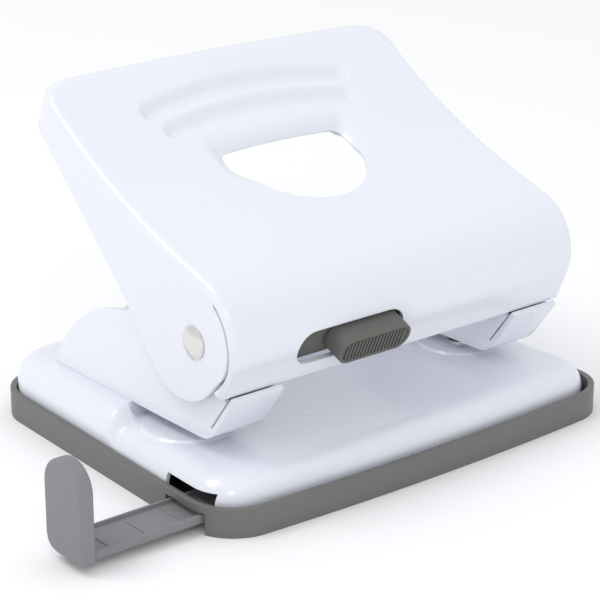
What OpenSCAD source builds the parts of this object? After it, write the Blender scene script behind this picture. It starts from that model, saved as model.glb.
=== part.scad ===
// Two-hole desk punch: pressed-steel handle and base, a pair of sprung punch pins,
// a lock slide, a paper guide and a soft chip tray.
// Frame: X to the right, Y to the back, Z up. Paper enters from the front, at -Y.
// Origin: centre of the tray's underside, on the surface that the punch stands on.

/* [Tray] */
// Half the tray's width at its front corners
tray_half_front = 57.5; // [55:0.5:60]
// Half the tray's width at its rear corners
tray_half_rear = 54; // [52:0.5:57]
// Half the tray's depth at its corners
tray_half_depth = 46.6; // [45:0.2:50]
// Height of the tray's rim
tray_h = 6.4; // [6.1:0.1:7]
// Radius of the tray's corners, seen from above
tray_corner_r = 12; // [9:0.5:15]
// Width of the tray's rim
rim_w = 1.4; // [1.2:0.1:2]
// Thickness of the tray's floor
tray_floor_t = 0.9; // [0.8:0.1:1]

/* [Base] */
// Height of the paper bed
bed_z = 11.2; // [10.8:0.1:11.6]
// Height of the rear platform that the brackets stand on
platform_z = 14.4; // [14:0.1:15]
// Thickness of the base sheet
base_t = 1; // [0.8:0.1:1.2]
// Radius of the base's rounded shoulder
shoulder_r = 6; // [5:0.5:6.5]

/* [Punching] */
// Distance between the two holes
hole_spacing = 80; // [70:1:80]
// Diameter of the punched hole
pin_d = 5.5; // [5:0.1:6]
// Distance from the paper stop to the hole's centre
hole_depth = 12; // [11:0.5:13]
// How far the pins travel
pin_travel = 6.8; // [6:0.1:7]
// Turns in a return spring
spring_turns = 4; // [3:1:4]

/* [Brackets] */
// Outside width of a bracket
bracket_w = 13.2; // [12.5:0.1:14]
// Thickness of the bracket sheet
bracket_t = 1.2; // [1:0.1:1.4]
// Radius of the bracket's curved back
bracket_r = 34.8; // [33:0.1:36]

/* [Handle] */
// Outside width of the handle
handle_w = 98; // [97:0.5:99]
// Thickness of the handle sheet
handle_t = 1.2; // [1:0.1:1.2]
// Slope of the handle's front part, in degrees
front_slope = 18.3; // [17:0.1:20]
// Slope of the handle's rear end, in degrees
rear_slope = 37.5; // [35:0.5:40]
// Radius of the handle's hollow back, seen from the side
back_r = 157; // [150:1:170]
// How far the middle of the rear edge is bowed
rear_bow = 1.2; // [0:0.1:2]
// Angle that the handle is pressed through, in degrees
press_angle = 27; // [25:1:28]
// Width of the finger cut-out
cutout_w = 34.4; // [30:0.2:38]

/* [Lock] */
// Length of the lock button
button_l = 19.6; // [18:0.2:20]
// Height of the lock button
button_h = 6.6; // [5.8:0.1:7]
// How far the lock button stands out of the handle
button_out = 4; // [3:0.1:5]

/* [Paper guide] */
// Width of the guide bar
bar_w = 10.9; // [10:0.1:11.2]
// Thickness of the guide bar
bar_t = 2; // [1.8:0.1:2.6]
// Length of the guide bar
bar_l = 104; // [95:1:106]
// How far the stop stands out from the middle of the punch
stop_x = 86.5; // [60:0.5:120]
// Height of the stop plate's top edge
stop_top = 23.2; // [20:0.2:26]

/* [Hidden] */

$fn = 48;
white = "#e8ebf2";
steel = "#b9bcc0";
grey = "#6f6f6b";

fit_gap = 0.3;         // gap between bodies that move past each other
run_gap = 0.05;        // radial running fit of pins and rivets
pin_x = hole_spacing / 2;
pin_y = -hole_depth;   // the paper stop is at y = 0

// handle pivot: level with the presser's nose at half travel
presser_r = pin_travel / 2 / sin(press_angle / 2);
presser_nose_r = 2;
pivot_y = pin_y - presser_r;
pivot_z = 36.7;
nose_rest_y = pivot_y + presser_r * cos(press_angle / 2);
nose_rest_z = pivot_z + presser_r * sin(press_angle / 2);
pin_top_z = nose_rest_z - presser_nose_r - run_gap;
pin_tip_z = platform_z + 0.6;

// side profile of the handle: a straight lower front, a round nose, a straight
// stretch that rises to the rear, a hollow back and a turned-down rear edge
half_w = handle_w / 2;
panel_tilt = 23.8;                  // the lower front leans back by this angle
panel_n = [-cos(panel_tilt), -sin(panel_tilt)];
top_n = [-sin(front_slope), cos(front_slope)];
top_start = [-19, 54.5];            // where the hollow back begins
nose_y = pivot_y + 0.1;
panel_dist = 21.2;                  // lower front's distance from the origin
// nose centre height and radius that make it tangent to both straight stretches
nose_z = (top_start * top_n - nose_y * top_n[0] + nose_y * panel_n[0] - panel_dist)
         / (top_n[1] - panel_n[1]);
nose_r = panel_dist - nose_y * panel_n[0] - nose_z * panel_n[1];
panel_low = 26.6;                   // height of the lower front's bottom edge
slot_yz = [nose_y, nose_z] + nose_r * panel_n;
edge_r = 3;                         // turned-down rear edge
back_c = top_start + back_r * top_n;
back_end = back_c + back_r * [sin(rear_slope), -cos(rear_slope)];
edge_c = back_end + edge_r * [sin(rear_slope), -cos(rear_slope)];
bend_r = 2;                         // bend between the top and the ears
bow_start = 5;                      // the rear edge's bow begins here

// outline points and normals, from the turned-down rear edge to the front's bottom edge
edge_pts = [for (i = [0 : 6]) let (t = i / 6 * (90 + rear_slope))
        [edge_c + edge_r * [cos(t), sin(t)], [cos(t), sin(t)]]];
back_pts = [for (i = [1 : 9]) let (t = rear_slope + (front_slope - rear_slope) * i / 9)
        [back_c + back_r * [sin(t), -cos(t)], [-sin(t), cos(t)]]];
nose_pts = [for (i = [0 : 10]) let (t = 90 + front_slope + (90 + panel_tilt - front_slope) * i / 10)
        [[nose_y, nose_z] + nose_r * [cos(t), sin(t)], [cos(t), sin(t)]]];
low_s = (slot_yz[1] - panel_low) / cos(panel_tilt);
low_pts = [[slot_yz + low_s * [sin(panel_tilt), -cos(panel_tilt)], panel_n]];
profile = concat(edge_pts, back_pts, nose_pts, low_pts);

// ---------- plan outline shared by the tray and the base ----------
front_bow = 1.4;
rear_bulge = 1.2;
function arc(c, r, a0, a1, n) = [for (i = [0 : n]) let (a = a0 + (a1 - a0) * i / n)
    [c[0] + r * cos(a), c[1] + r * sin(a)]];
function bow(half, y, d, dir, n) = [for (i = [1 : n - 1]) let (x = dir * half * (2 * i / n - 1))
    [x, y + d * (1 - pow(x / half, 2))]];
// outline pulled in by d all round and by setback more at the front, anticlockwise
// from the front left corner
function plan(d, setback = 0) = let (r = tray_corner_r - d, cf = tray_half_front - tray_corner_r,
        cr = tray_half_rear - tray_corner_r, cy = tray_half_depth - tray_corner_r, fy = cy - setback)
    concat(arc([-cf, -fy], r, 180, 270, 6), bow(cf, -fy - r, -front_bow, 1, 8),
           arc([cf, -fy], r, 270, 360, 6), arc([cr, cy], r, 0, 90, 6),
           bow(cr, cy + r, rear_bulge, -1, 8), arc([-cr, cy], r, 90, 180, 6));
// solid skinned over plan outlines, each pulled in by levels[i][0] at height levels[i][1]
module plan_loft(levels, setback = 0) {
    n = len(plan(0));
    m = len(levels);
    pts = [for (l = levels) for (p = plan(l[0], setback)) [p[0], p[1], l[1]]];
    faces = concat([[for (i = [0 : n - 1]) i]],
        [for (k = [0 : m - 2]) for (i = [0 : n - 1]) let (j = (i + 1) % n)
            [k * n + i, (k + 1) * n + i, (k + 1) * n + j, k * n + j]],
        [[for (i = [n - 1 : -1 : 0]) (m - 1) * n + i]]);
    polyhedron(pts, faces);
}
// the same outline as a plain straight-sided block
module plan_block(d, z0, z1) {
    translate([0, 0, z0]) linear_extrude(z1 - z0) polygon(plan(d));
}

// ---------- helpers ----------
// side view (y, z) shape drawn in 2D and extruded from x0 to x1
module side(x0, x1) {
    translate([x0, 0, 0]) rotate([90, 0, 90]) linear_extrude(x1 - x0) children();
}
module x_rod(x0, x1, y, z, r) {
    translate([x0, y, z]) rotate([0, 90, 0]) cylinder(h = x1 - x0, r = r);
}
module box(lo, hi) { translate(lo) cube(hi - lo); }
module right_side() { mirror([1, 0, 0]) children(); }
// places children in the lower front's own frame: X along, Z up it, -Y out of it
module on_panel() {
    translate([0, slot_yz[0], slot_yz[1]]) rotate([panel_tilt, 0, 0]) children();
}
// bar with round ends, from x0 to x1, h high, from y0 to y1
module racetrack(x0, x1, h, y0, y1) {
    translate([0, y1, 0]) rotate([90, 0, 0]) linear_extrude(y1 - y0) {
        translate([x0 + h / 2, -h / 2]) square([x1 - x0 - h, h]);
        for (x = [x0 + h / 2, x1 - h / 2]) translate([x, 0]) circle(d = h);
    }
}

// ---------- paper guide's place ----------
bar_y0 = -38;
bar_z0 = 2.2;
bar_end = bar_l - stop_x + 3;
window_gap = 0.6;

// ---------- tray ----------
tray_chamfer = 0.6;
rim_edge = 0.4;
module chip_tray() color(grey) difference() {
    plan_loft([[tray_chamfer, 0], [0, tray_chamfer], [0, tray_h - rim_edge], [rim_edge, tray_h]]);
    plan_block(rim_w, tray_floor_t, tray_h + 1);
    // way out for the paper guide, open below, under the rim at the front left
    box([-tray_half_front - 1, bar_y0 - 1.2, -1],
        [-tray_half_front + rim_w + 2, bar_y0 + bar_w + 1, bar_z0 + bar_t + window_gap]);
}

// ---------- base pan ----------
skirt_in = rim_w + 0.4;    // the skirt stands this far inside the tray's edge
skirt_setback = 1.5;       // and this much further at the front
skirt_z = 3;
notch_top = 8.1;           // the skirt is cut away up to here, over the guide bar
function shoulder(in, z, r) = [for (a = [0 : 18 : 90]) [in + r - r * cos(a), z - r + r * sin(a)]];
// one half of the pan, with its top at z, between two planes across the punch
module pan_part(d, foot, z, y0, y1) intersection() {
    plan_loft(concat([[skirt_in + d, foot]], shoulder(skirt_in + d, z - d, shoulder_r - d)), skirt_setback);
    box([-60, y0, 0], [60, y1, 20]);
}
// the paper bed in front, and the higher rear part whose front face is the paper stop
module pan_shape(d, foot) {
    pan_part(d, foot, bed_z, -60, d);
    pan_part(d, foot, platform_z, d, 60);
}
die_pad_r = 11;
die_pad_h = 0.5;
module base_pan() color(white) difference() {
    union() {
        difference() {
            pan_shape(0, skirt_z);
            pan_shape(base_t, skirt_z - 1);
        }
        // raised pads round the dies
        for (s = [-1, 1]) translate([s * pin_x, pin_y, bed_z - 0.4])
            cylinder(h = die_pad_h + 0.4, r1 = die_pad_r, r2 = die_pad_r - 0.8);
    }
    for (s = [-1, 1]) translate([s * pin_x, pin_y, 0]) cylinder(h = 20, d = pin_d + 0.4);
    for (s = [-1, 1], y = rivet_ys) translate([s * pin_x, y, 0]) cylinder(h = 20, r = rivet_r + run_gap);
    box([-60, bar_y0 - 1, 0], [-50, bar_y0 + bar_w + 3.4, notch_top]);
}

// ---------- dies ----------
die_r = 6.3;
die_t = 1.5;
module die_plate() color(steel) translate([-pin_x, pin_y, bed_z - base_t - die_t]) difference() {
    cylinder(h = die_t, r = die_r);
    translate([0, 0, -1]) cylinder(h = die_t + 2, r = pin_d / 2 + run_gap);
}

// ---------- brackets ----------
rivet_ys = [8, 23];
rivet_r = 2;
arm_c = [-1.7, 0.3];       // centre of the bracket's curved back
boss_r = 6.2;
lip_foot_y = -25.2;        // the front lip turns up from the bracket's foot here
lip_bend_r = 6;
lip_lean = 53;             // slope of the lip's flat part
lip_l = 11.3;              // length of the lip's flat part
lip_gap = 0.5;             // slit between the lip and the wall behind it
lip_up = [-cos(lip_lean), sin(lip_lean)];
lip_in = [sin(lip_lean), cos(lip_lean)];
// the lip's line at depth d under its outer face, without its flat part
function lip_bend(d) = arc([lip_foot_y, platform_z + lip_bend_r], lip_bend_r - d, -90, -90 - lip_lean, 8);
function last(list) = list[len(list) - 1];
slit = 0.7;
catch_y = -35.1;
catch_z = 34.6;
catch_h = 1.1;
x_out = -pin_x - bracket_w / 2;
x_in = -pin_x + bracket_w / 2;
module wall_outline() {
    slit_foot = last(lip_bend(0)) + (bracket_t + lip_gap) * lip_in;
    intersection() {
        translate(arm_c) circle(r = bracket_r, $fn = 96);
        translate([lip_foot_y, platform_z]) square([60, 40]);
    }
    translate([pivot_y, pivot_z]) circle(r = boss_r);
    polygon(concat([[3, platform_z]], lip_bend(0), [slit_foot, slit_foot + 8.9 * lip_up,
        [pivot_y - boss_r - 0.2, 26.4], [pivot_y - boss_r, pivot_z],
        [pivot_y + 2.6, pivot_z + boss_r - 0.6], [3, 34.7]]));
}
module lip_outline() {
    inner = lip_bend(bracket_t);
    polygon(concat(lip_bend(0), [last(lip_bend(0)) + lip_l * lip_up, last(inner) + lip_l * lip_up],
                   [for (i = [len(inner) - 1 : -1 : 0]) inner[i]]));
}
module bracket() difference() {
    union() {
        side(x_out, x_out + bracket_t) wall_outline();
        side(x_in - bracket_t, x_in) wall_outline();
        side(x_out, x_in) lip_outline();
        box([x_out, lip_foot_y, platform_z], [x_in, 29.9, platform_z + bracket_t]);
        // pressed boss that spaces the ear off the wall
        x_rod(-half_w + handle_t + 0.1, x_out + 0.5, pivot_y, pivot_z, 5);
    }
    x_rod(x_out - 2, x_out + 3, pivot_y, pivot_z, 1.8);
    translate([-pin_x, pin_y, 0]) cylinder(h = 30, r = pin_d / 2 + run_gap);
    for (y = rivet_ys) translate([-pin_x, y, 0]) cylinder(h = 20, r = rivet_r + run_gap);
}
module left_bracket() color(white) {
    bracket();
    // tab that the lock plate's tooth hooks over
    box([x_in - bracket_t, catch_y, catch_z], [x_in, pivot_y - 4, catch_z + catch_h]);
}
module right_bracket() color(white) right_side() bracket();
module rivet(z0, z1) {
    translate([0, 0, z0]) cylinder(h = z1 - z0, r = rivet_r);
    translate([0, 0, z1]) intersection() {
        sphere(r = 3.4, $fn = 48);
        translate([-5, -5, 0]) cube([10, 10, 1.3]);
    }
    translate([0, 0, z0 - 1]) cylinder(h = 1, r = 3.2);
}
module bracket_rivets() color(steel)
    for (s = [-1, 1], y = rivet_ys) translate([s * pin_x, y, 0])
        rivet(platform_z - base_t, platform_z + bracket_t);

// ---------- upper guides, springs, pins ----------
bridge_top = 25.4;
bridge_w = bracket_w - 2 * bracket_t;
module pin_guide() color(steel) difference() {
    translate([-pin_x, pin_y, 0]) {
        box([-bridge_w / 2, -7, bridge_top - 1.2], [bridge_w / 2, 7, bridge_top]);
        for (s = [-1, 1]) box([s * bridge_w / 2 - (s > 0 ? 1.2 : 0), -7, bridge_top - 1.2],
                              [s * bridge_w / 2 + (s > 0 ? 0 : 1.2), 7, bridge_top + 4]);
    }
    translate([-pin_x, pin_y, 0]) cylinder(h = 40, r = pin_d / 2 + run_gap);
}
head_h = 2;
head_r = 4;
wire_r = 0.4;
coil_r = 3.45;
module return_spring() color(steel) translate([-pin_x, pin_y, bridge_top + wire_r]) {
    len_free = pin_top_z - head_h - bridge_top - 2 * wire_r;
    steps = 14;
    n = spring_turns * steps;
    sides = 8;
    rings = [for (i = [0 : n]) let (a = 360 * i / steps, z = len_free * i / n)
        for (k = [0 : sides - 1]) let (b = 360 * k / sides, r = coil_r + wire_r * cos(b))
            [r * cos(a), r * sin(a), z + wire_r * sin(b)]];
    polyhedron(rings, concat([[for (k = [0 : sides - 1]) k]],
        [for (i = [0 : n - 1]) for (k = [0 : sides - 1]) let (j = (k + 1) % sides)
            [i * sides + k, (i + 1) * sides + k, (i + 1) * sides + j, i * sides + j]],
        [[for (k = [sides - 1 : -1 : 0]) n * sides + k]]));
}
clip_z = bridge_top - 1.2 - 0.9;
groove_r = 2.1;
module punch_pin() color(steel) translate([-pin_x, pin_y, 0]) difference() {
    union() {
        translate([0, 0, pin_tip_z]) cylinder(h = pin_top_z - head_h - pin_tip_z, d = pin_d);
        translate([0, 0, pin_top_z - head_h]) cylinder(h = head_h, r = head_r);
    }
    // hollow ground cutting end
    translate([0, 0, pin_tip_z - 0.2]) cylinder(h = 1.2, r1 = pin_d / 2 - 0.4, r2 = 0.3);
    // clip groove
    translate([0, 0, clip_z]) difference() {
        cylinder(h = 0.7, r = pin_d);
        translate([0, 0, -1]) cylinder(h = 3, r = groove_r);
    }
}
module pin_clip() color(steel) translate([-pin_x, pin_y, clip_z + 0.05]) difference() {
    cylinder(h = 0.6, r = 4.4);
    translate([0, 0, -1]) cylinder(h = 3, r = groove_r);
    box([-groove_r + 0.3, -6, -1], [groove_r - 0.3, 0, 2]);
}

// ---------- pivot rivets ----------
rivet_shank_r = 2.5;
module pivot_rivet() color(steel) {
    x_rod(-half_w - 0.05, -half_w + handle_t + 0.1, pivot_y, pivot_z, rivet_shank_r);
    x_rod(-half_w + handle_t + 0.1, x_out + bracket_t, pivot_y, pivot_z, 1.8);
    x_rod(x_out + bracket_t, x_out + bracket_t + 1, pivot_y, pivot_z, 3);
    // low domed head
    translate([-half_w - 0.05, pivot_y, pivot_z]) rotate([0, -90, 0]) intersection() {
        translate([0, 0, -5.1]) sphere(r = 6.2, $fn = 64);
        cylinder(h = 3, r = 3.6);
    }
}

// ---------- handle ----------
// one cross-layer of the handle's skin: the profile pulled in by d at place x
function bowed(p, x) = let (k = max(0, p[0] - bow_start) / (edge_c[0] + edge_r - bow_start),
        b = rear_bow * (1 - pow(x / half_w, 2)) * k * k)
    [p[0] + b * 0.8, p[1] + b * 0.6];
function layer(x, d, depth) = let (
        pts = [for (q = profile) bowed([q[0][0] - d * q[1][0], q[0][1] - d * q[1][1]], x)],
        last = pts[len(pts) - 1])
    concat([[x, pts[0][0], -depth]], [for (p = pts) [x, p[0], p[1]]],
           [[x, last[0], -depth]]);
// skin across the width: w half-width, r edge radius, d pull-in, depth of the open side
module handle_block(w, r, d, depth) {
    angles = [0, 22.5, 45, 67.5, 90];
    half = concat([for (a = angles) [w - r + r * cos(a), d + r - r * sin(a)]],
                  [for (k = [0.75, 0.5, 0.25]) [(w - r) * k, d]]);
    full = concat([for (h = half) [-h[0], h[1]]], [[0, d]],
                  [for (i = [len(half) - 1 : -1 : 0]) half[i]]);
    n = len(profile) + 2;
    m = len(full);
    // the side faces are fans round a point that sees the whole outline
    eye = [20, 0];
    pts = concat([for (f = full) each layer(f[0], f[1], depth)], [[-w, eye[0], eye[1]], [w, eye[0], eye[1]]]);
    polyhedron(pts, concat([for (i = [0 : n - 1]) [m * n, i, (i + 1) % n]],
        [for (k = [0 : m - 2]) for (i = [0 : n - 1]) let (j = (i + 1) % n)
            [k * n + i, (k + 1) * n + i, (k + 1) * n + j, k * n + j]],
        [for (i = [0 : n - 1]) [m * n + 1, (m - 1) * n + (i + 1) % n, (m - 1) * n + i]]));
}
// side view of all that is kept: the ear, its round foot, and the top and front sheet
ear_r = 11.7;
foot_c = [-20.5, 36.5];
foot_r = 13.3;
slit_r = 10.6;
module ear_outline() {
    polygon([[-8.2, 31.5], [29.5, 70.5], [36, 73.5], [36, 84], [10, 84], [-30.5, 60], [-30, 37]]);
    translate(foot_c) circle(r = foot_r, $fn = 96);
    translate([pivot_y, pivot_z]) circle(r = ear_r, $fn = 96);
}
module sheet_outline() {
    n = len(profile);
    polygon(concat([for (q = profile) q[0] + 0.5 * q[1]],
                   [for (i = [n - 1 : -1 : 9]) profile[i][0] - (handle_t + 0.3) * profile[i][1]]));
}
module slit_outline() intersection() {
    translate([pivot_y, pivot_z + 0.7]) difference() {
        circle(r = slit_r + slit, $fn = 96);
        circle(r = slit_r, $fn = 96);
    }
    polygon([[pivot_y, pivot_z], [pivot_y - 20 * cos(52), pivot_z + 20 * sin(52)], [-60, pivot_z],
             [pivot_y - 20 * cos(62), pivot_z - 20 * sin(62)]]);
}
cutout_y = 2.2;
corner_cut = 4;
cutout_back = 5.6;
module handle() color(white) difference() {
    intersection() {
        difference() {
            handle_block(half_w, bend_r, 0, 5);
            handle_block(half_w - handle_t, bend_r - handle_t + 0.3, handle_t, 9);
        }
        side(-half_w - 1, half_w + 1) {
            ear_outline();
            sheet_outline();
        }
    }
    // rear corners cut back, seen from above
    for (s = [-1, 1]) translate([s * (half_w + 1), edge_c[0] + edge_r + 2, 40]) rotate([0, 0, 45])
        translate([-corner_cut, -corner_cut, 0]) cube([2 * corner_cut, 2 * corner_cut, 60]);
    for (s = [-1, 1]) {
        side(s > 0 ? half_w - 3 : -half_w - 1, s > 0 ? half_w + 1 : -half_w + 3) slit_outline();
        x_rod(s > 0 ? half_w - 3 : -half_w - 1, s > 0 ? half_w + 1 : -half_w + 3,
              pivot_y, pivot_z, rivet_shank_r + run_gap);
    }
    // finger cut-out
    intersection() {
        translate([0, cutout_y, 45]) cylinder(h = 40, d = cutout_w, $fn = 96);
        box([-40, -40, 45], [40, cutout_back, 90]);
    }
    // lock slot
    on_panel() translate([0, 0, slot_lift]) racetrack(slot_x0, slot_x1, slot_h, -3, 4);
}

// ---------- pressers ----------
presser_w = 8;
module presser_outline() {
    translate([nose_rest_y, nose_rest_z]) circle(r = presser_nose_r);
    translate([nose_rest_y - presser_nose_r, nose_rest_z]) square([2 * presser_nose_r, 13]);
}
module presser() color(steel) difference() {
    side(-pin_x - presser_w / 2, -pin_x + presser_w / 2) intersection() {
        presser_outline();
        polygon(concat([[-40, 20], [20, 20]],
            [for (i = [8 : len(profile) - 12]) profile[i][0] - (handle_t + 0.05) * profile[i][1]]));
    }
    // pressed hollow behind the nose
    side(-pin_x - presser_w / 2 + 1.4, -pin_x + presser_w / 2 - 1.4)
        translate([nose_rest_y - 0.8, nose_rest_z + 1.5]) square([4, 20]);
}

// ---------- lock ----------
slot_h = 8.4;
slot_lift = 0.3;           // the slot's middle is this far above the button's
slot_x0 = -31.2;
slot_x1 = -2.2;
plate_y0 = handle_t + 0.6;
plate_z = [-4.2, 3];      // the plate's lower and upper edge, clear of the nose's inside
plate_t = 0.95;
button_x0 = -22.5;
rib_count = 14;
rib_step = 1;
module lock_button() color(grey) on_panel() difference() {
    racetrack(button_x0, button_x0 + button_l, button_h, -button_out, plate_y0);
    // ribbed grip
    for (i = [0 : rib_count - 1]) translate([button_x0 + 3 + i * rib_step, -button_out - 0.5, -2.1])
        cube([0.5, 0.9, 4.2]);
}
tooth_z0 = -2.85;
tooth_z1 = -1.2;
tooth_w = 7.5;
tooth_h = 1.2;
plate_x0 = -33;
plate_x1 = 2;
module lock_plate() color(grey) on_panel() {
    box([plate_x0, plate_y0, plate_z[0]], [plate_x1, plate_y0 + plate_t, plate_z[1]]);
    box([plate_x0, plate_y0 + plate_t, tooth_z0], [plate_x0 + tooth_w, plate_y0 + plate_t + tooth_h, tooth_z1]);
}

// ---------- paper guide ----------
stop_y = [-39.4, -26.6];
stop_r = 6.2;
stop_t = 3.6;
module stop_outline() hull() {
    for (y = [stop_y[0] + stop_r, stop_y[1] - stop_r]) translate([y, stop_top - stop_r]) circle(r = stop_r);
    for (p = [[stop_y[0] + 1, 1], [stop_y[1] - 4.4, 1], [stop_y[1] - 1, 4.6]])
        translate([p[0], bar_z0 + p[1]]) circle(r = 1);
}
module paper_guide() color("#7d7d80") {
    difference() {
        box([-stop_x + 2, bar_y0, bar_z0], [bar_end, bar_y0 + bar_w, bar_z0 + bar_t]);
        // shallow trough between the bar's side rims
        box([-stop_x + 5, bar_y0 + 1, bar_z0 + bar_t - 0.7],
            [bar_end - 2, bar_y0 + bar_w - 1, bar_z0 + bar_t + 1]);
    }
    side(-stop_x, -stop_x + stop_t) stop_outline();
}
channel_t = 0.6;
channel_x = [-46, -13];
channel_lip = 1.6;         // the front wall stays this far under the sheet, clear of its shoulder
module guide_channel() color(steel) {
    y0 = bar_y0 - fit_gap - channel_t;
    y1 = bar_y0 + bar_w + fit_gap + channel_t;
    z0 = bar_z0 - fit_gap - channel_t;
    top = bed_z - base_t;
    box([channel_x[0], y0, z0], [channel_x[1], y1, z0 + channel_t]);
    box([channel_x[0], y0, z0], [channel_x[1], y0 + channel_t, top - channel_lip]);
    box([channel_x[0], y1 - channel_t, z0], [channel_x[1], y1, top]);
    box([channel_x[0] + 4, y1 - channel_t, top - channel_t], [channel_x[1], y1 + 3.5, top]);
}

chip_tray();
base_pan();
left_bracket();
right_bracket();
bracket_rivets();
die_plate();  // left_die_plate
right_side() die_plate();  // right_die_plate
pin_guide();  // left_pin_guide
right_side() pin_guide();  // right_pin_guide
guide_channel();
pivot_rivet();  // left_pivot_rivet
right_side() pivot_rivet();  // right_pivot_rivet
return_spring();  // left_return_spring
right_side() return_spring();  // right_return_spring
handle();
presser();  // left_presser
right_side() presser();  // right_presser
punch_pin();  // left_punch_pin
right_side() punch_pin();  // right_punch_pin
pin_clip();  // left_pin_clip
right_side() pin_clip();  // right_pin_clip
lock_button();
lock_plate();
paper_guide();
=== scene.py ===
"""Finished pieces, materials, stage and camera of a two-hole desk punch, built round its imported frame."""

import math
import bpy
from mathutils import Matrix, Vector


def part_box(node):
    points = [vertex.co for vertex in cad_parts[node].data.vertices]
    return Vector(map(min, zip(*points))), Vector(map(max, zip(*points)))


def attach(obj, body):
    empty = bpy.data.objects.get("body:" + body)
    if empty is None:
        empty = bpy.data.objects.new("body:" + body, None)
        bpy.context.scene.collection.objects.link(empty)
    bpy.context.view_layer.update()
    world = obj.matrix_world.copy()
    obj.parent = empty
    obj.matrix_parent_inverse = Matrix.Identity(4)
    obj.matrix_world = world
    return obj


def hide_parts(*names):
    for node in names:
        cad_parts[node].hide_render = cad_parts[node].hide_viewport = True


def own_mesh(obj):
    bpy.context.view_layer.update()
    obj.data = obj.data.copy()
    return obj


bl_info = {
    "name": "Two-hole desk punch",
    "version": (1, 0, 0),
    "blender": (4, 5, 0),
    "location": "3D View > Sidebar > Punch",
    "description": "Models the punch's finished pieces round its mechanical frame",
    "category": "Add Mesh",
}

from contextlib import contextmanager

import bmesh
import bpy
from bpy.props import FloatProperty, FloatVectorProperty, PointerProperty
from mathutils import Matrix, Vector
from mathutils.geometry import delaunay_2d_cdt

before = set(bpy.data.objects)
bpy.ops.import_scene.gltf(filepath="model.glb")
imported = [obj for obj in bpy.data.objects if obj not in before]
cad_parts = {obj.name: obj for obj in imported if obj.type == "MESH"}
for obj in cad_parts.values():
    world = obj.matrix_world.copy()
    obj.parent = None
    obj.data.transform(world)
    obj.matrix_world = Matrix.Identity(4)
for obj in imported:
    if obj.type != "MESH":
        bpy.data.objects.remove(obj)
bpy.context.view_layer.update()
MM = 0.001


# ---------- sizes and colours that a user would change ----------
def length(name, millimetres, text):
    return FloatProperty(name=name, description=text, default=millimetres * MM, unit="LENGTH", precision=5)


def angle(name, degrees, text):
    return FloatProperty(name=name, description=text, default=math.radians(degrees), subtype="ANGLE")


def colour(name, value, text):
    return FloatVectorProperty(name=name, description=text, default=value, size=3, subtype="COLOR",
                               min=0, max=1)


class PunchHandle(bpy.types.PropertyGroup):
    """Sizes of the pressed handle."""

    half_width: length("Half width", 49, "From the middle to an ear's outer face")
    sheet: length("Sheet", 1.2, "Thickness of the pressed sheet")
    side_bend: length("Side bend", 1.5, "Outer radius of the bend between the top and an ear")
    rear_bend: length("Rear bend", 3, "Outer radius of the turned-down rear edge")
    rear_corner: length("Rear corner", 8, "Radius of the rear corners, seen from above")
    rear_bow: length("Rear bow", 1.3, "How far the middle of the rear edge is bowed")
    back_radius: length("Hollow back", 157, "Radius of the hollow back, seen from the side")
    front_slope: angle("Front slope", 18.3, "Slope of the top behind the nose")
    rear_slope: angle("Rear slope", 37.5, "Slope of the top at the rear edge")
    panel_tilt: angle("Panel tilt", 23.8, "How far the front panel leans back")
    groove_depth: length("Groove depth", 1.5, "Depth of the two grip grooves")
    groove_half: length("Groove half width", 2.4, "Half the width of a grip groove")
    dish_depth: length("Dish depth", 2.2, "Depth of the dish behind the finger cut-out")
    mesh_step: length("Mesh step", 0.9, "Spacing of the points in the sheet")


class PunchBase(bpy.types.PropertyGroup):
    """Sizes of the base and its chip tray."""

    half_front: length("Half front width", 57.5, "Half the tray's width at its front corners")
    half_rear: length("Half rear width", 54, "Half the tray's width at its rear corners")
    half_depth: length("Half depth", 46.6, "Half the tray's depth at its corners")
    corner: length("Corner", 12, "Radius of the tray's corners, seen from above")
    front_bow: length("Front bow", 1.4, "How far the front is bowed")
    rear_bow: length("Rear bow", 1.2, "How far the rear is bowed")
    tray_height: length("Tray height", 6.4, "Height of the tray's rim")
    rim: length("Rim", 1.4, "Width of the tray's rim")
    skirt_inset: length("Skirt inset", 1.8, "How far the base stands inside the tray's edge")
    setback: length("Setback", 1.5, "How much further in the base stands at the front")
    bed: length("Bed height", 11.2, "Height of the paper bed")
    shoulder: length("Shoulder", 6, "Radius of the base's rounded shoulder")
    platform: length("Platform height", 14.4, "Height of the rear platform")
    sheet: length("Sheet", 1, "Thickness of the base's sheet")


class PunchFinish(bpy.types.PropertyGroup):
    """Colours of the punch's finishes."""

    paint: colour("Paint", (0.80, 0.815, 0.885), "White stove enamel")
    tray: colour("Tray", (0.15, 0.15, 0.142), "Soft grey tray")
    guide: colour("Guide", (0.22, 0.22, 0.235), "Grey paper guide")
    lock: colour("Lock", (0.1, 0.1, 0.094), "Dark grey lock slide")
    steel: colour("Steel", (0.74, 0.73, 0.71), "Nickel-plated steel")


class PunchStage(bpy.types.PropertyGroup):
    """Camera, light and floor."""

    azimuth: angle("Azimuth", -39.2, "Direction that the camera looks from")
    elevation: angle("Elevation", 20.15, "Height angle that the camera looks from")
    lens: FloatProperty(name="Lens", description="Focal length in millimetres", default=129.3)
    world_light: FloatProperty(name="World light", description="Strength of the even light", default=0.9)
    key_power: FloatProperty(name="Key light", description="Power of the key light in watts", default=1.8)


def sizes(part):
    return getattr(bpy.context.scene, "punch_" + part)


# ---------- modelling helpers ----------
def activate(obj):
    bpy.ops.object.select_all(action="DESELECT")
    obj.select_set(True)
    bpy.context.view_layer.objects.active = obj


@contextmanager
def editing(obj):
    activate(obj)
    bpy.ops.object.mode_set(mode="EDIT")
    yield obj
    bpy.ops.object.mode_set(mode="OBJECT")


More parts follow.
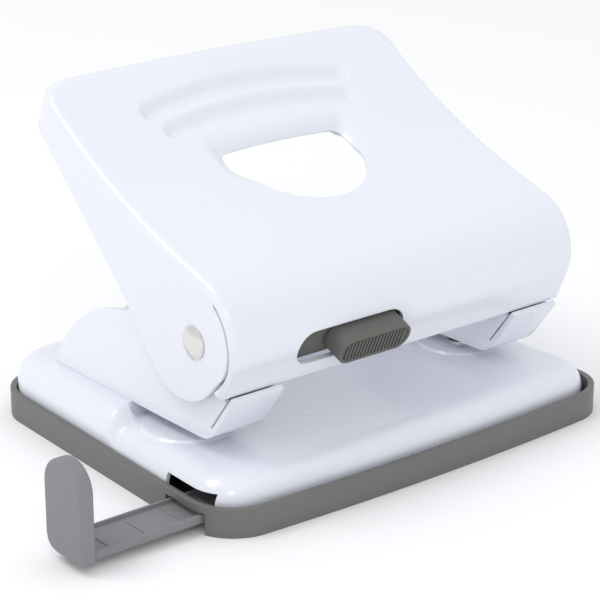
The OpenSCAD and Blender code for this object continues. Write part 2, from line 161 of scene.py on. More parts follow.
def choose(obj, kind, test):
    """Selects the vertices, edges or faces that test says, in edit mode."""
    bpy.ops.mesh.select_mode(type=kind)
    bpy.ops.mesh.select_all(action="DESELECT")
    mesh = bmesh.from_edit_mesh(obj.data)
    for element in {"VERT": mesh.verts, "EDGE": mesh.edges, "FACE": mesh.faces}[kind]:
        if test(element):
            element.select_set(True)
    mesh.select_flush_mode()
    bmesh.update_edit_mesh(obj.data)


def settle(obj, name):
    """Names a new primitive and puts its place into its mesh."""
    obj.name = obj.data.name = name
    bpy.ops.object.transform_apply(location=True, rotation=True, scale=True)
    return obj


def cube(name, low, high):
    bpy.ops.object.select_all(action="DESELECT")
    low, high = Vector(low), Vector(high)
    bpy.ops.mesh.primitive_cube_add(size=1, location=(low + high) / 2, scale=high - low)
    return settle(bpy.context.object, name)


def rod(name, radius, start, end, top_radius=None, sides=64):
    """A round bar or cone from start to end."""
    bpy.ops.object.select_all(action="DESELECT")
    start, end = Vector(start), Vector(end)
    axis = end - start
    bpy.ops.mesh.primitive_cone_add(
        vertices=sides, radius1=radius, radius2=radius if top_radius is None else top_radius,
        depth=axis.length, location=(start + end) / 2, rotation=axis.to_track_quat("Z", "Y").to_euler())
    return settle(bpy.context.object, name)


def turned(name, outline, origin=(0, 0, 0), axis=(0, 0, 1), sides=64):
    """A turned piece: the (radius, height) outline is spun round an axis through origin."""
    bpy.ops.object.select_all(action="DESELECT")
    bpy.ops.mesh.primitive_circle_add(vertices=3, radius=1)
    obj = bpy.context.object
    obj.name = obj.data.name = name
    obj.data.clear_geometry()
    obj.data.from_pydata([(r, 0, z) for r, z in outline], [(i, i + 1) for i in range(len(outline) - 1)], [])
    with editing(obj):
        bpy.ops.mesh.select_all(action="SELECT")
        bpy.ops.mesh.spin(steps=sides, angle=2 * math.pi, center=(0, 0, 0), axis=(0, 0, 1))
        bpy.ops.mesh.select_all(action="SELECT")
        bpy.ops.mesh.remove_doubles(threshold=0.002 * MM)
        bpy.ops.mesh.normals_make_consistent(inside=False)
    turn = Vector((0, 0, 1)).rotation_difference(Vector(axis)).to_matrix().to_4x4()
    obj.data.transform(Matrix.Translation(origin) @ turn)
    return obj


def modify(obj, kind, **values):
    """Adds a modifier with the given values and applies it."""
    activate(obj)
    modifier = obj.modifiers.new(kind.lower(), kind)
    for key, value in values.items():
        setattr(modifier, key, value)
    bpy.ops.object.modifier_apply(modifier=modifier.name)
    return obj


def combine(obj, tool, operation):
    modify(obj, "BOOLEAN", operation=operation, object=tool, solver="EXACT")
    bpy.data.objects.remove(tool)
    return obj


def soften(obj, width, limit=35, segments=3, smooth=35):
    """Rounds the sharp edges and smooths the rest."""
    modify(obj, "BEVEL", width=width, segments=segments, limit_method="ANGLE",
           angle_limit=math.radians(limit), harden_normals=False, miter_outer="MITER_ARC")
    return smoothed(obj, smooth)


def smoothed(obj, smooth=35):
    activate(obj)
    bpy.ops.object.shade_smooth_by_angle(angle=math.radians(smooth))
    return obj


def join(first, *others):
    activate(first)
    for other in others:
        other.select_set(True)
    bpy.ops.object.join()
    return first


def copied(name, node, width=0.2 * MM, limit=40):
    """A copy of a frame node, cleaned, with its edges rounded."""
    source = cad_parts[node]
    obj = source.copy()
    obj.data = source.data.copy()
    obj.name = obj.data.name = name
    obj.parent = None
    obj.matrix_world = Matrix.Identity(4)
    bpy.context.collection.objects.link(obj)
    obj.data.materials.clear()
    with editing(obj):
        bpy.ops.mesh.select_all(action="SELECT")
        bpy.ops.mesh.remove_doubles(threshold=0.005 * MM)
        bpy.ops.mesh.dissolve_limited(angle_limit=math.radians(0.5))
    return soften(obj, width, limit, segments=2)


def mesh_piece(name, points, faces):
    """A new object from points in the row frame."""
    data = bpy.data.meshes.new(name)
    data.from_pydata([tuple(p) for p in points], [], faces)
    obj = bpy.data.objects.new(name, data)
    bpy.context.collection.objects.link(obj)
    return obj


def piece(obj, body, slot, material, *nodes):
    """Gives a finished piece its material and body and hides the frame nodes it stands for; its slot argument
    is not used.
    """
    obj.data.materials.clear()
    obj.data.materials.append(bpy.data.materials[material])
    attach(obj, body)
    if nodes:
        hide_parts(*nodes)
    return obj


# ---------- materials ----------
def grain_group():
    """Fine grain and slow tone changes that every finish shares, each with its own values."""
    group = bpy.data.node_groups.new("surface_grain", "ShaderNodeTree")
    face = group.interface
    face.new_socket("Colour", in_out="INPUT", socket_type="NodeSocketColor")
    for name, value in (("Tone Change", 0.04), ("Tone Scale", 40), ("Grain Scale", 2500),
                        ("Grain Height", 0.1), ("Roughness", 0.4), ("Roughness Change", 0.08),
                        ("Stretch", 1)):
        face.new_socket(name, in_out="INPUT", socket_type="NodeSocketFloat").default_value = value
    face.new_socket("Colour", in_out="OUTPUT", socket_type="NodeSocketColor")
    face.new_socket("Roughness", in_out="OUTPUT", socket_type="NodeSocketFloat")
    face.new_socket("Normal", in_out="OUTPUT", socket_type="NodeSocketVector")
    nodes, links = group.nodes, group.links
    source, out = nodes.new("NodeGroupInput"), nodes.new("NodeGroupOutput")
    place = nodes.new("ShaderNodeTexCoord")
    stretch = nodes.new("ShaderNodeCombineXYZ")
    stretch.inputs["Y"].default_value = stretch.inputs["Z"].default_value = 1
    links.new(source.outputs["Stretch"], stretch.inputs["X"])
    scaled = nodes.new("ShaderNodeVectorMath")
    scaled.operation = "MULTIPLY"
    links.new(place.outputs["Object"], scaled.inputs[0])
    links.new(stretch.outputs["Vector"], scaled.inputs[1])

    def noise(scale, detail):
        texture = nodes.new("ShaderNodeTexNoise")
        texture.inputs["Detail"].default_value = detail
        links.new(scaled.outputs["Vector"], texture.inputs["Vector"])
        links.new(source.outputs[scale], texture.inputs["Scale"])
        return texture.outputs["Fac"]

    def spread(value, change, middle):
        """middle plus the noise's distance from a half, times change."""
        centred = nodes.new("ShaderNodeMath")
        centred.operation = "SUBTRACT"
        links.new(value, centred.inputs[0])
        centred.inputs[1].default_value = 0.5
        product = nodes.new("ShaderNodeMath")
        product.operation = "MULTIPLY_ADD"
        links.new(centred.outputs[0], product.inputs[0])
        links.new(source.outputs[change], product.inputs[1])
        if isinstance(middle, str):
            links.new(source.outputs[middle], product.inputs[2])
        else:
            product.inputs[2].default_value = middle
        return product.outputs[0]

    slow, fine = noise("Tone Scale", 3), noise("Grain Scale", 2)
    tone = nodes.new("ShaderNodeHueSaturation")
    links.new(source.outputs["Colour"], tone.inputs["Color"])
    links.new(spread(slow, "Tone Change", 1), tone.inputs["Value"])
    links.new(tone.outputs["Color"], out.inputs["Colour"])
    links.new(spread(fine, "Roughness Change", "Roughness"), out.inputs["Roughness"])
    bump = nodes.new("ShaderNodeBump")
    bump.inputs["Distance"].default_value = 0.1 * MM
    links.new(fine, bump.inputs["Height"])
    links.new(source.outputs["Grain Height"], bump.inputs["Strength"])
    links.new(bump.outputs["Normal"], out.inputs["Normal"])
    return group


def finish(name, tint, grain, **constants):
    """One finish: the shared grain group with its own values, into a shader with its own constants."""
    material = bpy.data.materials.new(name)
    material.use_nodes = True
    nodes, links = material.node_tree.nodes, material.node_tree.links
    shader = nodes["Principled BSDF"]
    surface = nodes.new("ShaderNodeGroup")
    surface.node_tree = bpy.data.node_groups["surface_grain"]
    surface.location = (-300, 0)
    surface.inputs["Colour"].default_value = (*tint, 1)
    for key, value in grain.items():
        surface.inputs[key].default_value = value
    for key, value in constants.items():
        shader.inputs[key.replace("_", " ")].default_value = value
    links.new(surface.outputs["Colour"], shader.inputs["Base Color"])
    links.new(surface.outputs["Roughness"], shader.inputs["Roughness"])
    links.new(surface.outputs["Normal"], shader.inputs["Normal"])
    return material


def make_finishes():
    tints = sizes("finish")
    grain_group()
    finish("enamel", tints.paint,
           {"Tone Change": 0.02, "Tone Scale": 25, "Grain Scale": 420, "Grain Height": 0.035,
            "Roughness": 0.26, "Roughness Change": 0.06},
           Coat_Weight=0.5, Coat_Roughness=0.08, Specular_IOR_Level=0.55)
    finish("soft_tray_plastic", tints.tray,
           {"Tone Change": 0.1, "Tone Scale": 60, "Grain Scale": 2600, "Grain Height": 0.35,
            "Roughness": 0.5, "Roughness Change": 0.15})
    finish("guide_plastic", tints.guide,
           {"Tone Change": 0.08, "Tone Scale": 80, "Grain Scale": 2200, "Grain Height": 0.3,
            "Roughness": 0.42, "Roughness Change": 0.12})
    finish("lock_plastic", tints.lock,
           {"Tone Change": 0.1, "Tone Scale": 120, "Grain Scale": 3000, "Grain Height": 0.25,
            "Roughness": 0.36, "Roughness Change": 0.1})
    finish("nickel", tints.steel,
           {"Tone Change": 0.12, "Tone Scale": 300, "Grain Scale": 1500, "Grain Height": 0.1,
            "Roughness": 0.2, "Roughness Change": 0.14}, Metallic=1)
    brushed_shade = 0.75
    finish("brushed_steel", [brushed_shade * c for c in tints.steel],
           {"Tone Change": 0.16, "Tone Scale": 160, "Grain Scale": 900, "Grain Height": 0.3,
            "Roughness": 0.34, "Roughness Change": 0.2, "Stretch": 0.08}, Metallic=1)


# ---------- handle ----------
class SideLine:
    """The handle's outer face seen from the side, by its length s up from the front panel's bottom edge.

    Places are (y, z). The panel, the nose, a straight run and the hollow back follow each other.
    """

    beyond_end = 8 * MM
    top_start = Vector((-19, 54.5)) * MM
    nose_y = -26.46 * MM
    panel_distance = 21.6 * MM
    panel_bottom = 26.6 * MM

    def __init__(self, h):
        tilt, front, rear = h.panel_tilt, h.front_slope, h.rear_slope
        self.panel_normal = Vector((-math.cos(tilt), -math.sin(tilt)))
        top_normal = Vector((-math.sin(front), math.cos(front)))
        nose_z = ((self.top_start.dot(top_normal) - self.nose_y * top_normal.x
                   + self.nose_y * self.panel_normal.x - self.panel_distance)
                  / (top_normal.y - self.panel_normal.y))
        self.nose = Vector((self.nose_y, nose_z))
        self.nose_r = self.panel_distance - self.nose.dot(self.panel_normal)
        self.tangent_point = self.nose + self.nose_r * self.panel_normal
        self.up = Vector((-math.sin(tilt), math.cos(tilt)))
        self.panel_length = (self.tangent_point.y - self.panel_bottom) / math.cos(tilt)
        self.start_angle = math.pi + tilt
        self.nose_length = self.nose_r * (math.pi / 2 + tilt - front)
        self.nose_end = self.nose + self.nose_r * top_normal
        self.front_dir = Vector((math.cos(front), math.sin(front)))
        self.straight_length = (self.top_start - self.nose_end).length
        self.radius = h.back_radius
        self.centre = self.top_start + self.radius * top_normal
        self.front = front
        self.s_nose = self.panel_length
        self.s_top = self.s_nose + self.nose_length
        self.s_back = self.s_top + self.straight_length
        self.s_end = self.s_back + self.radius * (rear - front)

    def at(self, s):
        """Point, direction and outward normal at s."""
        if s <= self.s_nose:
            return self.tangent_point + (s - self.s_nose) * self.up, self.up, self.panel_normal
        if s <= self.s_top:
            a = self.start_angle - (s - self.s_nose) / self.nose_r
            normal = Vector((math.cos(a), math.sin(a)))
            return self.nose + self.nose_r * normal, Vector((math.sin(a), -math.cos(a))), normal
        if s <= self.s_back:
            return (self.nose_end + (s - self.s_top) * self.front_dir, self.front_dir,
                    Vector((-self.front_dir.y, self.front_dir.x)))
        t = self.front + (s - self.s_back) / self.radius
        point = self.centre + self.radius * Vector((math.sin(t), -math.cos(t)))
        return point, Vector((math.cos(t), math.sin(t))), Vector((-math.sin(t), math.cos(t)))

    def at_y(self, y):
        """The length s of the top's point at y."""
        low, high = self.s_top, self.s_end + self.beyond_end
        halvings = 40
        for _ in range(halvings):
            middle = (low + high) / 2
            if self.at(middle)[0].x < y:
                low = middle
            else:
                high = middle
        return low


class HandleForm:
    """Outlines and places of the handle's sheet."""

    cutout_centre_y = 2.2 * MM
    cutout_radius = 17.2 * MM
    cutout_rear_y = 5.4 * MM
    cutout_arch = 0.5 * MM
    cutout_corner = 2.6 * MM
    dish_reach = 5 * MM
    dish_start = -7 * MM
    dish_ramp = 9 * MM
    bow_start = 5 * MM
    bow_back, bow_up = 0.8, 0.6
    groove_places = ((20.6, 27.5), (14.8, 25.0))
    groove_curve = 3.6
    slot_ends = (-31.2 * MM, -2.2 * MM)
    slot_half = 4.2 * MM
    slot_lift = 0.35 * MM
    slit_centre = Vector((-26.564, 37.4)) * MM
    slit_outer = 11.75 * MM
    slit_inner = 11.05 * MM
    slit_top_angle = math.radians(127)
    slit_front_angle = math.radians(215)
    slit_overlap = 0.03
    slit_depths = (0.4 * MM, 2.6 * MM)
    slit_depth_beyond = 2.2 * MM
    pivot_z = 36.7 * MM
    pivot_hole = 2.55 * MM
    foot_centre = Vector((-21.9, 36.1)) * MM
    foot_radius = 13.3 * MM
    foot_angles = (math.radians(316), math.radians(233))
    ear_corner = Vector((-1.4, 40.2)) * MM
    ear_rise = 0.969
    corner_steps = 14
    bend_rows = 5
    skirt_rows = 4

    def __init__(self, h):
        self.h = h
        self.line = SideLine(h)
        end, direction, _ = self.line.at(self.line.s_end)
        turn = math.pi / 2 + h.rear_slope
        self.rear_y = end.x + h.rear_bend * math.tan(turn / 2) * direction.x
        self.cutout = self.cutout_loop()

    # the sheet's skin
    def bow(self, x, point):
        k = max(0, point.y - self.bow_start) / (self.rear_y - self.bow_start)
        b = self.h.rear_bow * (1 - (x / self.h.half_width) ** 2) * k * k
        return Vector((point.x, point.y + self.bow_back * b, point.z + self.bow_up * b))

    def pressed(self, x, y, on_top):
        """Depth of the grooves and of the dish at a place on the top."""
        if not on_top:
            return 0
        depth = 0
        for middle, half in self.groove_places:
            along = max(0, abs(x) - half * MM)
            across = y - (middle * MM - self.groove_curve * x * x)
            d = math.hypot(along, across) / self.h.groove_half
            if d < 1:
                depth += self.h.groove_depth * (0.5 + 0.5 * math.cos(math.pi * d)) ** 0.8
        d = self.cutout_distance(x, y) / self.dish_reach
        if d < 1:
            fade = min(1, max(0, (y - self.dish_start) / self.dish_ramp))
            fade = fade * fade * (3 - 2 * fade)
            depth += self.h.dish_depth * (1 - d) ** 2 * fade
        return depth

    def skin(self, x, s, lift=0):
        """Place in the row frame of a point of the outer face."""
        point, _, normal = self.line.at(s)
        lift = lift - self.pressed(x, point.x, s > self.line.s_top)
        return self.bow(x, Vector((x, point.x + lift * normal.x, point.y + lift * normal.y)))

    # the finger cut-out, in x and y
    def cutout_loop(self, steps=96):
        """D-shaped: a circle cut off by a slightly arched rear edge, with rounded corners."""
        loop = []
        for i in range(steps):
            a = 2 * math.pi * i / steps
            x = self.cutout_radius * math.cos(a)
            y = self.cutout_centre_y + self.cutout_radius * math.sin(a)
            rear = self.cutout_rear_y + self.cutout_arch * (1 - (x / self.cutout_radius) ** 2)
            loop.append((x, min(y, rear)))
        return rounded_loop(loop, self.cutout_corner)

    def cutout_distance(self, x, y):
        """Distance outside the cut-out, taken from its circle and its rear edge."""
        outside_circle = math.hypot(x, y - self.cutout_centre_y) - self.cutout_radius
        outside_rear = y - self.cutout_rear_y
        if outside_rear > 0 and abs(x) < self.cutout_radius:
            return max(outside_rear, 0)
        if outside_rear > 0:
            return math.hypot(abs(x) - self.cutout_radius, outside_rear)
        return max(outside_circle, 0)

    # stations round the edge of the top
    def side_station(self, s):
        """Start, outward direction and downward direction of the side bend at s, on the left."""
        point, _, normal = self.line.at(s)
        start = Vector((self.h.side_bend - self.h.half_width, point.x, point.y))
        return start, Vector((-1, 0, 0)), Vector((0, -normal.x, -normal.y)), self.h.side_bend, s

    def corner_station(self, part):
        """The bend's station at a part of the way round the left rear corner."""
        h = self.h
        phi = part * math.pi / 2
        radius = h.side_bend + (h.rear_bend - h.side_bend) * part
        target = Vector((h.rear_corner - h.half_width - h.rear_corner * math.cos(phi),
                         self.rear_y - h.rear_corner + h.rear_corner * math.sin(phi)))
        y = target.y
        passes = 6
        for _ in range(passes):
            s = self.line.at_y(y)
            point, along, normal = self.line.at(min(s, self.line.s_end))
            out = Vector((-math.cos(phi), math.sin(phi) * along.x, math.sin(phi) * along.y))
            down = (Vector((0, -normal.x, -normal.y)) * (1 - part) + Vector((0, 0, -1)) * part).normalized()
            reach = radius * math.tan(out.angle(down) / 2)
            start = target - reach * (out + down).to_2d()
            y = start.y
        s = min(self.line.at_y(start.y), self.line.s_end)
        point = self.line.at(s)[0]
        return Vector((start.x, point.x, point.y)), out, down, radius, s

    def rear_station(self, x):
        point, along, _ = self.line.at(self.line.s_end)
        return (Vector((x, point.x, point.y)), Vector((0, along.x, along.y)), Vector((0, 0, -1)),
                self.h.rear_bend, self.line.s_end)

    def arc(self, station, turn=None):
        """Rows of the bend at a station, from the top to the skirt."""
        start, out, down, radius, _ = station
        full = out.angle(down)
        rows = []
        end = full if turn is None else turn
        for i in range(self.bend_rows + 1):
            a = end * i / self.bend_rows
            reach = radius * math.tan(full / 2)
            centre_dir = (down - out * out.dot(down)).normalized()
            rows.append(start + radius * (math.sin(a) * out + (1 - math.cos(a)) * centre_dir))
        return rows

    def slit_depth(self, s):
        """How deep under the outer face the slit's outer edge lies, beside the front panel."""
        point, _, normal = self.line.at(s)
        gap = point - self.slit_centre
        b = gap.dot(normal)
        under = b * b - gap.length_squared + self.slit_outer ** 2
        if under <= 0:
            return self.slit_depth_beyond
        least, most = self.slit_depths
        return min(most, max(least, b - math.sqrt(under)))


def rounded_loop(loop, radius, passes=3):
    """Evens a closed loop out and rounds its corners."""
    step = 0.8 * MM
    points = resample(loop, step)
    reach = max(1, int(radius / step / 2))
    n = len(points)
    for _ in range(passes):
        points = [sum((points[(i + k) % n] for k in range(-reach, reach + 1)), Vector((0, 0)))
                  / (2 * reach + 1) for i in range(n)]
    return [tuple(p) for p in points]


def resample(loop, step, closed=True):
    """The same line with points about a step apart."""
    points = [Vector(p) for p in loop]
    if closed:
        points.append(points[0])
    lengths = [(b - a).length for a, b in zip(points, points[1:])]
    total = sum(lengths)
    count = max(3, round(total / step))
    result = []
    i, passed = 0, 0.0
    for k in range(count + (0 if closed else 1)):
        target = total * k / count
        while i < len(lengths) - 1 and passed + lengths[i] < target:
            passed += lengths[i]
            i += 1
        t = (target - passed) / lengths[i] if lengths[i] else 0
        result.append(points[i].lerp(points[i + 1], min(1, max(0, t))))
    return result


def inside(point, loop):
    x, y = point
    odd = False
    for (x0, y0), (x1, y1) in zip(loop, loop[1:] + loop[:1]):
        if (y0 > y) != (y1 > y) and x < (x1 - x0) * (y - y0) / (y1 - y0) + x0:
            odd = not odd
    return odd


def fill(outer, holes, step, ring=0.45 * MM):
    """Triangles over a flat outline with holes, with a ring of points just inside every edge."""
    row, ring_gap, grid_gap = step * 0.866, ring * 0.8, step * 0.62
    loops = [[tuple(p) for p in loop] for loop in (outer, *holes)]
    points, edges = [], []
    for loop in loops:
        first = len(points)
        points += loop
        edges += [(first + i, first + (i + 1) % len(loop)) for i in range(len(loop))]
    edge_cells = {}
    for p in points:
        edge_cells.setdefault((int(p[0] // step), int(p[1] // step)), []).append(p)
    rims = []
    for k, loop in enumerate(loops):
        area = sum(a[0] * b[1] - b[0] * a[1] for a, b in zip(loop, loop[1:] + loop[:1]))
        side = (1 if area > 0 else -1) * (1 if k == 0 else -1)
        for i in range(len(loop)):
            before, after = Vector(loop[i - 1]), Vector(loop[(i + 1) % len(loop)])
            along = (after - before).normalized()
            rims.append(Vector(loop[i]) + side * ring * Vector((-along.y, along.x)))
    xs, ys = [p[0] for p in loops[0]], [p[1] for p in loops[0]]
    grid = [(min(xs) + (i + (0.5 if j % 2 else 0)) * step, min(ys) + j * row)
            for i in range(int((max(xs) - min(xs)) / step) + 2)
            for j in range(int((max(ys) - min(ys)) / row) + 2)]

    def clear(p, gap):
        cx, cy = int(p[0] // step), int(p[1] // step)
        return all(math.hypot(p[0] - q[0], p[1] - q[1]) > gap
                   for i in (-1, 0, 1) for j in (-1, 0, 1) for q in edge_cells.get((cx + i, cy + j), ()))

    def kept(p):
        return inside(p, loops[0]) and not any(inside(p, hole) for hole in loops[1:])

    rims = [tuple(p) for p in rims if kept(p) and clear(p, ring_gap)]
    for p in rims:
        edge_cells.setdefault((int(p[0] // step), int(p[1] // step)), []).append(p)
    grid = [p for p in grid if clear(p, grid_gap) and kept(p)]
    points += rims + grid
    out = delaunay_2d_cdt([Vector(p) for p in points], edges, [], 1, 1e-7)
    verts, faces = out[0], out[2]
    middle = [sum((verts[i] for i in face), Vector((0, 0))) / len(face) for face in faces]
    faces = [list(face) for face, c in zip(faces, middle) if kept((c.x, c.y))]
    return [Vector(v) for v in verts], faces


class Surface:
    """Points and faces gathered from several patches."""

    def __init__(self):
        self.points, self.faces = [], []

    def patch(self, points, faces):
        first = len(self.points)
        self.points += [Vector(p) for p in points]
        self.faces += [[first + i for i in face] for face in faces]

    def strip(self, columns):
        """Quads between columns of points, each column as long as the next."""
        rows = len(columns[0])
        points = [p for column in columns for p in column]
        self.patch(points, [[c * rows + r, (c + 1) * rows + r, (c + 1) * rows + r + 1, c * rows + r + 1]
                            for c in range(len(columns) - 1) for r in range(rows - 1)])


def mirrored(points):
    return [Vector((-p.x, *p.yz)) for p in points]


def spaced(low, high, step):
    count = max(1, round((high - low) / step))
    return [low + (high - low) * i / count for i in range(count + 1)]


def handle_surface(form):
    """The handle's outer face, as one open skin."""
    h, line = form.h, form.line
    step = h.mesh_step
    ear_step = step * 1.3
    skin = Surface()
    # stations of the left side, corner and rear, from the front to the middle of the rear
    nose_top = line.s_nose + line.nose_r * (line.start_angle - form.slit_top_angle)
    low_sides = [form.side_station(s) for s in spaced(0, nose_top, step)]
    sides = [form.side_station(s) for s in spaced(nose_top, form.corner_station(0)[4], step)]
    corner = [form.corner_station(i / form.corner_steps) for i in range(form.corner_steps + 1)]
    rear = [form.rear_station(x) for x in spaced(corner[-1][0].x, 0, step)]
    # flat outline of the top in (x, s)
    left = [(station[0].x, station[4]) for station in low_sides[:-1] + sides[:-1] + corner[:-1] + rear]
    outline = left + [(-x, s) for x, s in reversed(left[:-1])]
    half = abs(left[0][0])
    bottom = [(x, 0.0) for x in spaced(-half, half, step)][1:-1]
    outline += list(reversed(bottom))
    holes = [[(x, line.at_y(y)) for x, y in form.cutout], slot_loop(form)]
    flat, faces = fill(outline, holes, step)
    skin.patch([form.skin(p.x, p.y) for p in flat], faces)

    def settled(point):
        return form.bow(point.x, point)

    for flip in (False, True):
        side = mirrored if flip else list
        # bend beside the front panel, which ends at the slit
        columns = []
        for station in low_sides:
            depth = form.slit_depth(station[4])
            radius = h.side_bend
            turn = math.acos(1 - depth / radius) if depth < radius else math.pi / 2
            rows = form.arc(station, turn)
            rows.append(rows[-1] + station[2] * max(0, depth - radius))
            columns.append(side(rows))
        skin.strip(columns)
        # bend beside the rest of the top, round the corner and along the rear
        bends = [form.arc(station) for station in sides[:-1] + corner[:-1] + rear]
        skin.strip([side([settled(p) for p in rows]) for rows in bends])
        # skirt under the corner and the rear
        columns = []
        for station in corner[:-1] + rear:
            top = form.arc(station)[-1]
            down = station[2]
            drop = 0
            passes, damping = 12, 1.4
            for _ in range(passes):
                place = top + down * drop
                edge = form.ear_corner.y + (place.y - form.ear_corner.x) * form.ear_rise
                drop += (place.z - edge) / damping
            columns.append(side([settled(top + down * drop * i / form.skirt_rows)
                                 for i in range(form.skirt_rows + 1)]))
        skin.strip(columns)
        # the ear, filled in its own plane
        beyond_bend = max(0, form.slit_depth(nose_top) - h.side_bend)
        slit_end = form.arc(low_sides[-1])[-1] + low_sides[-1][2] * beyond_bend
        top_line = [form.arc(station)[-1] for station in sides[:-1]] + [form.arc(corner[0])[-1]]
        rear_line = columns[0]
        loop = ear_loop(form, top_line, rear_line, slit_end, step)
        pivot_steps = 28
        pivot = [(form.slit_centre.x + form.pivot_hole * math.cos(a),
                  form.pivot_z + form.pivot_hole * math.sin(a))
                 for a in (2 * math.pi * i / pivot_steps for i in range(pivot_steps))]
        flat, faces = fill(loop, [pivot], ear_step)
        x = h.half_width if flip else -h.half_width
        skin.patch([Vector((x, p.x, p.y)) for p in flat], faces)
    return skin


def ear_loop(form, top_line, rear_line, slit_end, step):
    """The ear's outline in (y, z), from the slit's upper end over the bend and round its lower edge."""
    loop = [(p.y, p.z) for p in top_line]
    loop += [(p.y, p.z) for p in rear_line[1:]]
    lower_start = Vector(loop[-1])

    def circle(centre, radius, start, end):
        count = max(2, round(radius * abs(end - start) / step))
        return [centre + radius * Vector((math.cos(a), math.sin(a)))
                for a in (start + (end - start) * i / count for i in range(count + 1))]

    foot = circle(form.foot_centre, form.foot_radius, *form.foot_angles)
    front = circle(form.slit_centre, form.slit_inner, form.slit_front_angle,
                   form.slit_top_angle + form.slit_overlap)
    lower = resample([lower_start, form.ear_corner, foot[0]], step, closed=False)[1:-1]
    loop += [tuple(p) for p in lower + foot]
    loop += [tuple(p) for p in resample([foot[-1], front[0]], step, closed=False)[1:-1]]
    loop += [tuple(p) for p in front]
    loop.append((slit_end.y, slit_end.z))
    return loop


def slot_loop(form):
    """The lock slot's outline in (x, s): a bar with round ends."""
    low, high = form.slot_ends
    middle, r = form.line.s_nose + form.slot_lift, form.slot_half
    end_steps, edge_step = 10, 0.7 * MM
    loop = []
    for centre, start in ((high - r, -90), (low + r, 90)):
        turns = [math.radians(start + 180 * i / end_steps) for i in range(end_steps + 1)]
        loop += [(centre + r * math.cos(a), middle + r * math.sin(a)) for a in turns]
    return [tuple(p) for p in resample(loop, edge_step)]


class PUNCH_OT_handle(bpy.types.Operator):
    """Presses the handle from one sheet: top, nose, front panel, ears and turned-down rear edge"""

    bl_idname = "punch.handle"
    bl_label = "Handle"

    weld = 0.03 * MM
    edge_radius = 0.22 * MM

    def execute(self, context):
        h = sizes("handle")
        form = HandleForm(h)
        skin = handle_surface(form)
        obj = mesh_piece("handle_shell", skin.points, skin.faces)
        with editing(obj):
            bpy.ops.mesh.select_all(action="SELECT")
            bpy.ops.mesh.remove_doubles(threshold=self.weld)
            bpy.ops.mesh.normals_make_consistent(inside=False)
        top = max(obj.data.polygons, key=lambda f: f.center.z)
        if top.normal.z < 0:
            obj.data.flip_normals()
        modify(obj, "SOLIDIFY", thickness=h.sheet, offset=-1, use_rim=True, use_even_offset=False)
        soften(obj, self.edge_radius, limit=55, segments=2, smooth=45)
        piece(obj, "handle", "white_paint", "enamel", "handle")
        for side in ("left", "right"):
            node = side + "_presser"
            piece(copied(side + "_presser_foot", node), "handle", "bright_steel", "brushed_steel", node)
        return {"FINISHED"}


# ---------- base and tray ----------
def upright(edge):
    a, b = (v.co for v in edge.verts)
    return abs(a.z - b.z) > 0.9 * (a - b).length


def slab(name, inset, low, high, setback=0):
    """A block over the outline that the tray and the base share.

    It is pulled in by inset, and by setback more in front.
    """
    b = sizes("base")
    front, rear, corner = b.half_front - inset, b.half_rear - inset, b.corner - inset
    ends = {-1: inset + setback - b.half_depth, 1: b.half_depth - inset}
    corner_steps, bow_cuts, side_edge = 12, 13, 40 * MM
    obj = cube(name, (-front, ends[-1], low), (front, ends[1], high))
    with editing(obj):
        choose(obj, "VERT", lambda v: v.co.y > 0)
        bpy.ops.transform.resize(value=(rear / front, 1, 1))
        choose(obj, "EDGE", upright)
        bpy.ops.mesh.bevel(offset=corner, segments=corner_steps, affect="EDGES")
        choose(obj, "EDGE", lambda e: not upright(e) and abs(e.verts[0].co.x - e.verts[1].co.x) > side_edge)
        bpy.ops.mesh.subdivide(number_cuts=bow_cuts)
    for v in obj.data.vertices:
        side, bow, half = (-1, b.front_bow, front - corner) if v.co.y < 0 else (1, b.rear_bow, rear - corner)
        if abs(v.co.y - ends[side]) < 0.01 * MM and abs(v.co.x) < half:
            v.co.y += side * bow * (1 - (v.co.x / half) ** 2)
    return obj


def across(place, axis):
    """Cuts the mesh being edited across, square to an axis (0 for X, 1 for Y)."""
    point, normal = [0, 0, 0], [0, 0, 0]
    point[axis], normal[axis] = place, 1
    bpy.ops.mesh.select_all(action="SELECT")
    bpy.ops.mesh.bisect(plane_co=point, plane_no=normal)


def on_top(z):
    """Test for the edges round a block's top face."""
    def test(edge):
        flat = all(abs(v.co.z - z) < 0.01 * MM for v in edge.verts)
        return flat and any(abs(f.normal.z) < 0.5 for f in edge.link_faces)
    return test


class PUNCH_OT_tray(bpy.types.Operator):
    """Moulds the soft chip tray: a rounded dish with a flat rim and a way out for the paper guide"""

    bl_idname = "punch.tray"
    bl_label = "Chip tray"

    floor = 0.9 * MM
    edge_radius = 0.45 * MM
    window_depth = (-39.2 * MM, -26.1 * MM)
    window_inner, window_top = -53 * MM, 4.8 * MM

    def execute(self, context):
        b = sizes("base")
        obj = slab("tray_shell", 0, 0, b.tray_height)
        with editing(obj):
            choose(obj, "FACE", lambda f: f.normal.z > 0.9)
            bpy.ops.mesh.inset(thickness=b.rim, depth=0)
            bpy.ops.mesh.extrude_region_move(
                TRANSFORM_OT_translate={"value": (0, 0, self.floor - b.tray_height)})
        front, rear = self.window_depth
        window = cube("window", (-b.half_front - MM, front, -MM), (self.window_inner, rear, self.window_top))
        combine(obj, window, "DIFFERENCE")
        soften(obj, self.edge_radius, limit=40, segments=3)
        piece(obj, "base", "tray_plastic", "soft_tray_plastic", "chip_tray")
        return {"FINISHED"}


